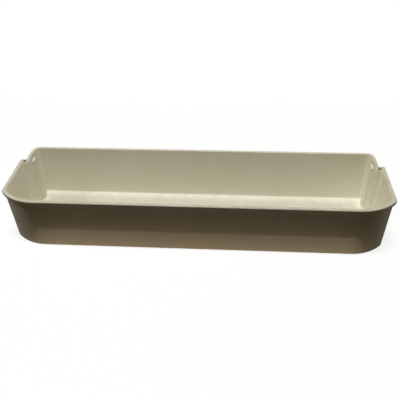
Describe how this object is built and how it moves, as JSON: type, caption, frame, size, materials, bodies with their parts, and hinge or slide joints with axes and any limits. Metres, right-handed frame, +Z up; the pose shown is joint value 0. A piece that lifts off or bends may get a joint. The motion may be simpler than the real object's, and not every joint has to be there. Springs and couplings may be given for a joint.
{
  "type": "fridge door shelf",
  "caption": "Moulded plastic fridge door shelf: a long open tray with a bowed front, an outward rim and a narrower rear part with lug grooves and slotted ears.",
  "frame": {"origin": "centre of the underside, midway between the ends and between front and back, over the rim", "axes": "+X along the shelf to the right as its user sees it, +Y to the back that meets the door, +Z up"},
  "size_m": [0.424, 0.1104, 0.066],
  "materials": {
    "shelf_plastic": "cream-white moulded polystyrene, satin gloss"
  },
  "bodies": {
    "root": {"door_shelf": "shelf_plastic"}
  },
  "joints": []
}
